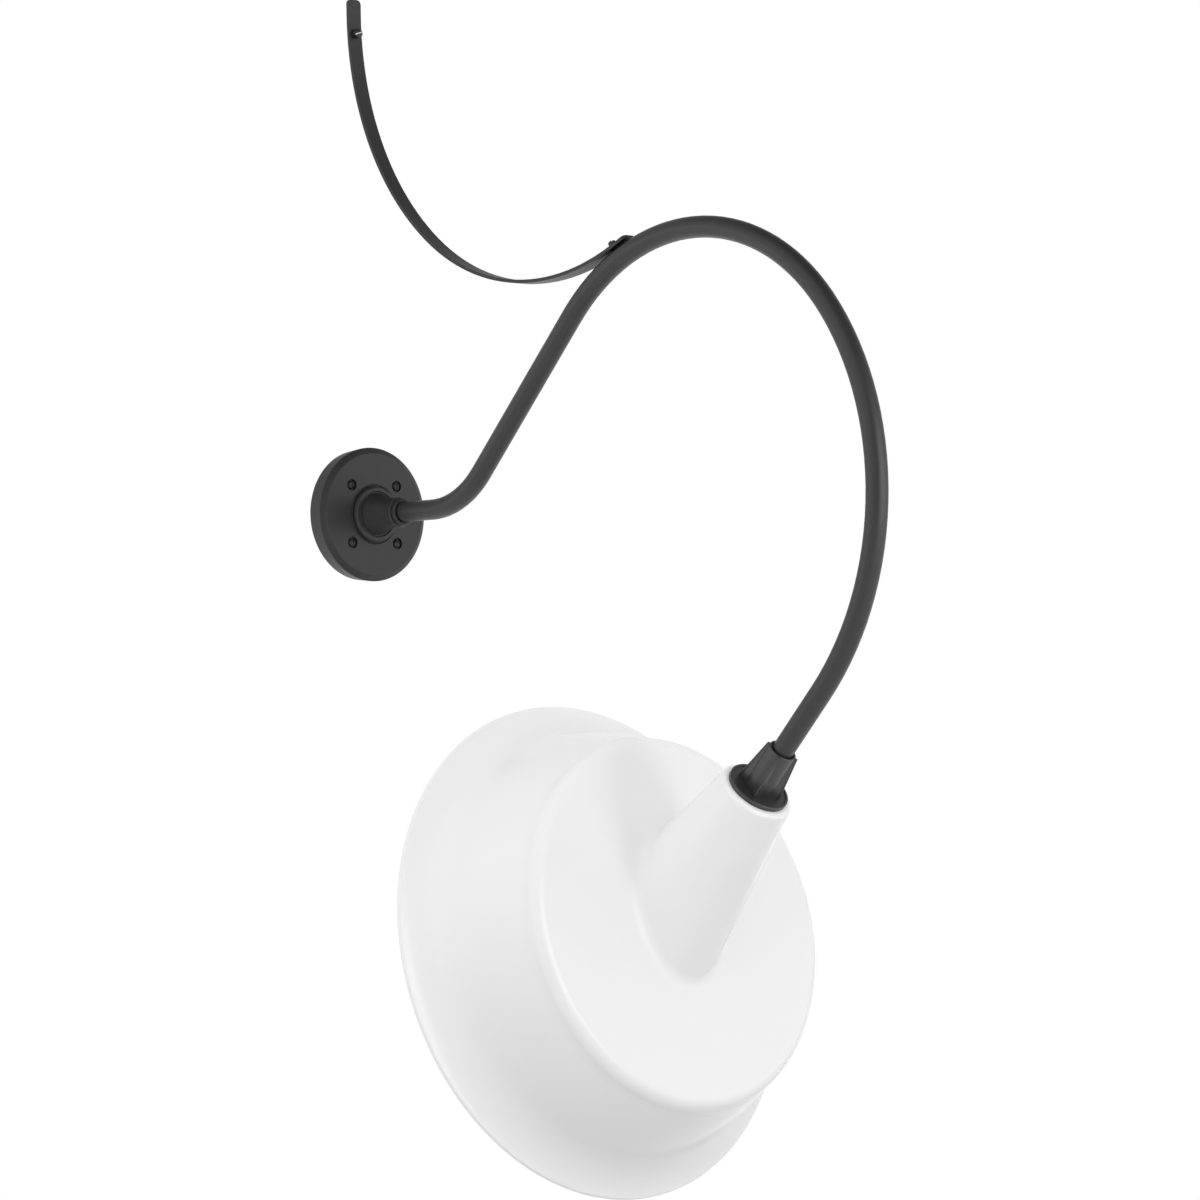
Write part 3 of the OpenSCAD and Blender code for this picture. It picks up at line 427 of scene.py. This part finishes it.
def makeShade(s):
    neckDir = Vector((0, math.sin(s["neckTilt"]), math.cos(s["neckTilt"])))
    neckUp = Vector((0, math.cos(s["neckTilt"]), -math.sin(s["neckTilt"])))
    root = Vector((0, s["neckOffset"], 0))
    head = root + neckDir * s["neckLength"]

    def headPlace(radius, drop):
        return lambda a: head - neckDir * drop + (Vector((math.cos(a), 0, 0)) + neckUp * math.sin(a)) * radius

    # One ring of the sweep between the neck and the flat top, t from 0 on the neck to 1 on the top
    def sweepPlace(t, inward):
        def place(a):
            out = Vector((math.cos(a), math.sin(a), 0))
            wide = (s["rootWide"] - inward) * math.cos(a)
            tall = (s["rootTall"] - inward) * math.sin(a)
            corner = root + Vector((wide, tall, -inward))
            top = headPlace(s["topRadius"] - inward, s["edgeRadius"])(a)
            length = s["sweepOpen"] + (s["sweepNarrow"] - s["sweepOpen"]) * (1 + math.sin(a)) / 2
            high = corner + (top - corner).normalized() * length
            return high * (1 - t) ** 2 + corner * 2 * t * (1 - t) + (corner + out * length) * t ** 2
        return place

    # From the hole in the neck's top, over its rounded edge and down the neck, out onto the flat top
    def neckPlaces(inward):
        places = [headPlace(s["holeRadius"], inward)]
        for k in range(s["edgeSteps"] + 1):
            a = math.radians(90 - 90 * k / s["edgeSteps"])
            r = s["edgeRadius"] - inward
            radius = s["topRadius"] - s["edgeRadius"] + r * math.cos(a)
            places.append(headPlace(radius, s["edgeRadius"] - r * math.sin(a)))
        for k in range(s["sweepSteps"] + 1):
            places.append(sweepPlace(k / s["sweepSteps"], inward))
        down = Vector((0, 0, inward))
        places.append(lambda a: root + Vector((math.cos(a), math.sin(a), 0)) * s["loftRadius"] - down)
        return places

    # The flare rises onto the bead, and the bead turns from there round to the inside
    outer = drumLine(s)
    inner = insideLine(outer, s["sheet"])
    rimWay = (outer[1] - outer[0]).normalized()
    for i in range(1, s["flareSteps"] + 1):
        rise = (1 - i / s["flareSteps"]) ** 2
        outer[i] = outer[i] + Vector((rimWay.y, -rimWay.x)) * s["beadRadius"] * s["beadRise"] * rise
    start = math.atan2(rimWay.y, rimWay.x)
    beadLine = []
    for k in s["beadTurns"]:
        a = start - math.radians(k)
        beadLine.append(outer[0] + Vector((math.cos(a), math.sin(a))) * s["beadRadius"])
    places = neckPlaces(0.0)
    for p in list(reversed(outer[2:])) + beadLine + inner[2:]:
        places.append(lambda a, q=p: Vector((q.x * math.cos(a), q.x * math.sin(a), q.y)))
    places += reversed(neckPlaces(s["sheet"]))

    bm = bmesh.new()
    ringSkin(bm, s["sides"], places, s["weld"])
    bmesh.ops.transform(bm, matrix=shadeFrame, verts=bm.verts)
    shade = finishMesh(bm, "spunShade", "glossWhite", "shade_head", s["sharp"])
    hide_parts("shade")


makeShade(shadeSettings)
print("shade spun and its neck lofted")


# Bare steel in the slot of the strap's wall screw, made bright enough to paint in the glint that shines
# there: part bare metal, part painted highlight

slotGlintSettings = {
    "place": (0, -0.01022, 0.516270),
    "turn": math.radians(20),
    "size": (9.2 * mm, 1.1 * mm, 0.15 * mm),
    "edge": 0.04 * mm,
    "edgeSteps": 2,
    "profile": 0.5,
    "sharp": 35.0,
}


def makeSlotGlintFloor(s):
    bm = bmesh.new()
    bmesh.ops.create_cube(bm, size=1.0)
    bmesh.ops.scale(bm, vec=s["size"], verts=bm.verts)
    bmesh.ops.bevel(bm, geom=bm.edges, offset=s["edge"], offset_type="OFFSET", segments=s["edgeSteps"],
                    profile=s["profile"], affect="EDGES", material=-1)
    place = Matrix.Translation(s["place"]) @ Matrix.Rotation(math.radians(90), 4, "X")
    bmesh.ops.transform(bm, matrix=place @ Matrix.Rotation(s["turn"], 4, "Z"), verts=bm.verts)
    # this strip is a painted highlight as much as bare metal: its brightness copies the glint in the slot
    floor = finishMesh(bm, "wallScrewSlotGlint", "bareSteelGlint", "wall_side", s["sharp"])


makeSlotGlintFloor(slotGlintSettings)
print("slot bared")


# Stage: a floor, and the wall that the flange and the strap stand on

stageSettings = {
    "floor": {"half": 8.0, "place": (0, 0, -1.05), "tilt": 0.0, "tone": (0.50, 0.50, 0.50, 1), "shine": 1.2,
              "speckle": 40.0, "speckleDetail": 2.0, "rough": (0.8, 0.95)},
    "wall": {"half": 6.0, "place": (0, 0.0004, 0), "tilt": 90.0},
    "white": (1.0, 1.0, 1.0, 1),
}


# A plane that pictures show white from its front and not at all from behind. Light goes through it, unless
# another shader takes the first place in the last mix
def makePlane(name, s, white):
    bm = bmesh.new()
    bmesh.ops.create_grid(bm, x_segments=1, y_segments=1, size=s["half"])
    tilt = Matrix.Rotation(math.radians(s["tilt"]), 3, "X")
    bmesh.ops.rotate(bm, cent=(0, 0, 0), matrix=tilt, verts=bm.verts)
    bmesh.ops.translate(bm, vec=s["place"], verts=bm.verts)
    mesh = bpy.data.meshes.new(name)
    bm.to_mesh(mesh)
    bm.free()
    plane = bpy.data.objects.new(name, mesh)
    bpy.context.scene.collection.objects.link(plane)
    mat, tree, shader, coords = newMaterial(name + "White")
    ray = addNode(tree, "ShaderNodeLightPath")
    glow = addNode(tree, "ShaderNodeEmission", {"Color": white, "Strength": 1.0})
    clear = addNode(tree, "ShaderNodeBsdfTransparent")
    side = addNode(tree, "ShaderNodeNewGeometry")
    face = addNode(tree, "ShaderNodeMixShader")
    seen = addNode(tree, "ShaderNodeMath", operation="MAXIMUM")
    whole = addNode(tree, "ShaderNodeMixShader")
    tree.links.new(side.outputs["Backfacing"], face.inputs["Fac"])
    tree.links.new(glow.outputs["Emission"], face.inputs[1])
    tree.links.new(clear.outputs["BSDF"], face.inputs[2])
    tree.links.new(ray.outputs["Is Camera Ray"], seen.inputs[0])
    tree.links.new(ray.outputs["Is Transmission Ray"], seen.inputs[1])
    tree.links.new(seen.outputs["Value"], whole.inputs["Fac"])
    tree.links.new(clear.outputs["BSDF"], whole.inputs[1])
    tree.links.new(face.outputs["Shader"], whole.inputs[2])
    tree.links.new(whole.outputs["Shader"], tree.nodes["Material Output"].inputs["Surface"])
    mesh.materials.append(mat)
    return tree, shader, coords, ray, whole


# The floor gives matt light back and shines in glossy surfaces. The wall does neither
def makeStage(s):
    tree, shader, coords, ray, whole = makePlane("floor", s["floor"], s["white"])
    floor = s["floor"]
    link = tree.links.new
    shine = addNode(tree, "ShaderNodeEmission", {"Color": s["white"], "Strength": floor["shine"]})
    lit = addNode(tree, "ShaderNodeMixShader")
    grain = {"Scale": floor["speckle"], "Detail": floor["speckleDetail"]}
    speckle = addNode(tree, "ShaderNodeTexNoise", grain)
    rough = addNode(tree, "ShaderNodeMapRange", {"To Min": floor["rough"][0], "To Max": floor["rough"][1]})
    setInputs(shader, {"Base Color": floor["tone"]})
    link(coords.outputs["Object"], speckle.inputs["Vector"])
    link(speckle.outputs["Fac"], rough.inputs["Value"])
    link(rough.outputs["Result"], shader.inputs["Roughness"])
    link(ray.outputs["Is Glossy Ray"], lit.inputs["Fac"])
    link(shader.outputs["BSDF"], lit.inputs[1])
    link(shine.outputs["Emission"], lit.inputs[2])
    link(lit.outputs["Shader"], whole.inputs[1])
    makePlane("wall", s["wall"], s["white"])


# The sky lights matt surfaces, a little more from above. Shiny ones see a studio in it: an even base, and
# zones that are brighter or dimmer round a direction
skySettings = {
    "white": (1.0, 1.0, 1.0, 1),
    "low": 0.83,
    "high": 1.04,
    "base": 0.9,
    "zones": [
        {"way": (0.68, -0.70, -0.20), "from": 0.86, "to": 0.97, "gain": 1.1},  # right
        {"way": (-0.82, 0.56, -0.13), "from": 0.9, "to": 1.0, "gain": 1.2},  # far left
        {"way": (-0.78, 0.02, 0.62), "from": 0.75, "to": 0.97, "gain": 0.6},  # upper left
        {"way": (-0.60, -0.79, -0.10), "from": 0.8, "to": 1.0, "gain": -0.5},  # round the camera
        {"way": (0.0, 0.0, 1.0), "from": 0.2, "to": 1.0, "gain": -0.75},  # ceiling
    ],
}


def makeWorld(s):
    world = bpy.data.worlds.new("studio")
    bpy.context.scene.world = world
    world.use_nodes = True
    tree = world.node_tree
    link = tree.links.new
    coords = addNode(tree, "ShaderNodeTexCoord")
    total = None
    for zone in s["zones"]:
        way = Vector(zone["way"]).normalized()
        dot = addNode(tree, "ShaderNodeVectorMath", {1: tuple(way)}, operation="DOT_PRODUCT")
        reach = {"From Min": zone["from"], "From Max": zone["to"], "To Max": zone["gain"]}
        share = addNode(tree, "ShaderNodeMapRange", reach, interpolation_type="SMOOTHSTEP")
        both = addNode(tree, "ShaderNodeMath", {1: s["base"]}, operation="ADD")
        link(coords.outputs["Generated"], dot.inputs[0])
        link(dot.outputs["Value"], share.inputs["Value"])
        link(share.outputs["Result"], both.inputs[0])
        if total:
            link(total.outputs["Value"], both.inputs[1])
        total = both
    ray = addNode(tree, "ShaderNodeLightPath")
    even = addNode(tree, "ShaderNodeBackground", {"Color": s["white"]})
    parts = addNode(tree, "ShaderNodeSeparateXYZ")
    heights = {"From Min": -1.0, "From Max": 1.0, "To Min": s["low"], "To Max": s["high"]}
    level = addNode(tree, "ShaderNodeMapRange", heights)
    walls = addNode(tree, "ShaderNodeBackground", {"Color": s["white"]})
    white = addNode(tree, "ShaderNodeBackground", {"Color": s["white"], "Strength": 1.0})
    shiny = addNode(tree, "ShaderNodeMixShader")
    seen = addNode(tree, "ShaderNodeMixShader")
    link(coords.outputs["Generated"], parts.inputs["Vector"])
    link(parts.outputs["Z"], level.inputs["Value"])
    link(level.outputs["Result"], even.inputs["Strength"])
    link(total.outputs["Value"], walls.inputs["Strength"])
    link(ray.outputs["Is Glossy Ray"], shiny.inputs["Fac"])
    link(even.outputs["Background"], shiny.inputs[1])
    link(walls.outputs["Background"], shiny.inputs[2])
    link(ray.outputs["Is Camera Ray"], seen.inputs["Fac"])
    link(shiny.outputs["Shader"], seen.inputs[1])
    link(white.outputs["Background"], seen.inputs[2])
    link(seen.outputs["Shader"], tree.nodes["World Output"].inputs["Surface"])


# Each lamp lights either matt surfaces or, as a card does, shiny ones
lampSettings = {
    "keyFront": {"place": (0.17, -1.45, -0.40), "aim": (0, -0.60, -0.35),
                 "size": (0.3, 0.3), "power": 1.55, "matt": True},
    "softRight": {"place": (2.6, -1.9, 0.6), "aim": (0, -0.4, -0.2),
                  "size": (1.4, 1.4), "power": 2.5, "matt": True},
    "softLeft": {"place": (-3.1, -1.15, -0.13), "aim": (0, -0.5, -0.45),
                 "size": (1.6, 1.6), "power": 13.0, "matt": True},
    "frontCard": {"place": (0.22, -2.50, 0.20), "aim": (-0.05, -0.76, 0.20),
                  "size": (1.6, 1.1), "power": 15.0, "matt": False},
}


def makeLamp(name, s):
    data = bpy.data.lights.new(name, "AREA")
    data.shape = "RECTANGLE"
    data.size, data.size_y = s["size"]
    data.energy = s["power"]
    lamp = bpy.data.objects.new(name, data)
    lamp.visible_diffuse = s["matt"]
    lamp.visible_glossy = not s["matt"]
    lamp.visible_camera = False
    way = Vector(s["aim"]) - Vector(s["place"])
    lamp.matrix_world = Matrix.Translation(s["place"]) @ way.to_track_quat("-Z", "Y").to_matrix().to_4x4()
    bpy.context.scene.collection.objects.link(lamp)


makeStage(stageSettings)
makeWorld(skySettings)
for name, settings in lampSettings.items():
    makeLamp(name, settings)
bpy.context.scene.view_settings.view_transform = "Standard"
print("stage and light set")
